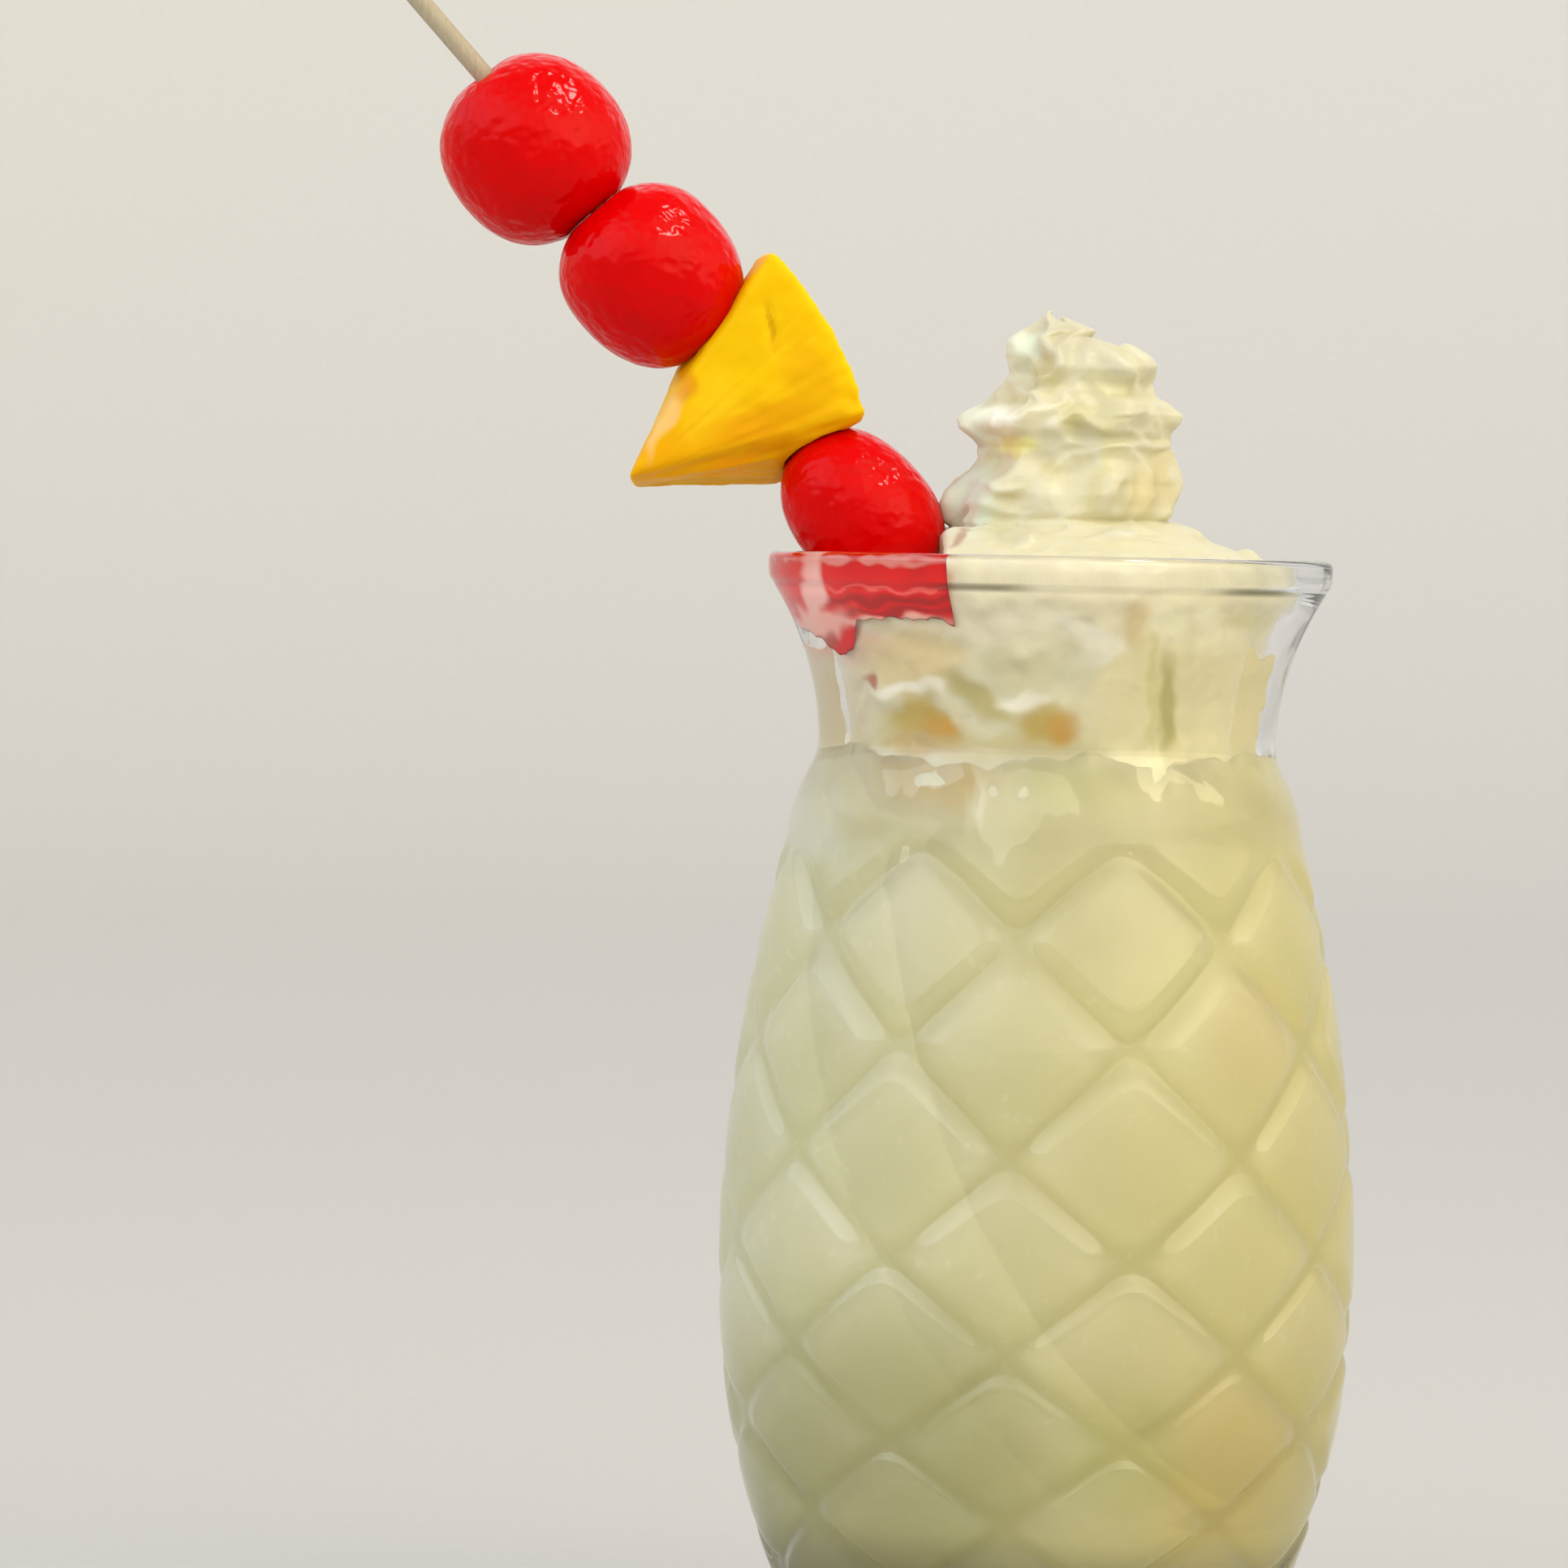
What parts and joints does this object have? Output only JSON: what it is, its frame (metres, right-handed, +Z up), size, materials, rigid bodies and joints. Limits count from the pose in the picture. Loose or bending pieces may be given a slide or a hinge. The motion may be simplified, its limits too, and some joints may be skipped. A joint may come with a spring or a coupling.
{
  "type": "pina colada in a glass",
  "caption": "Pina colada with a whipped cream swirl and a skewer of cherries and pineapple, in a clear pressed glass shaped like a pineapple.",
  "frame": {"origin": "middle of the glass's flat underside, on the table", "axes": "+Z up along the glass's axis; the skewer leans up towards -X; -Y faces the viewer of the picture"},
  "size_m": [0.1318, 0.0806, 0.2228],
  "materials": {
    "clear_glass": "clear pressed glass, polished",
    "creamy_drink": "smooth pale yellow-green creamy liquid",
    "whipped_cream": "soft ivory whipped cream",
    "cherry_flesh": "wet glossy candied cherry",
    "pineapple_flesh": "moist yellow fruit flesh",
    "bamboo": "plain dry bamboo"
  },
  "bodies": {
    "root": {"glass": "clear_glass", "drink": "creamy_drink", "whipped_cream": "whipped_cream", "cherry_top": "cherry_flesh", "cherry_middle": "cherry_flesh", "cherry_lower": "cherry_flesh", "pineapple_wedge": "pineapple_flesh", "skewer": "bamboo"}
  },
  "joints": []
}
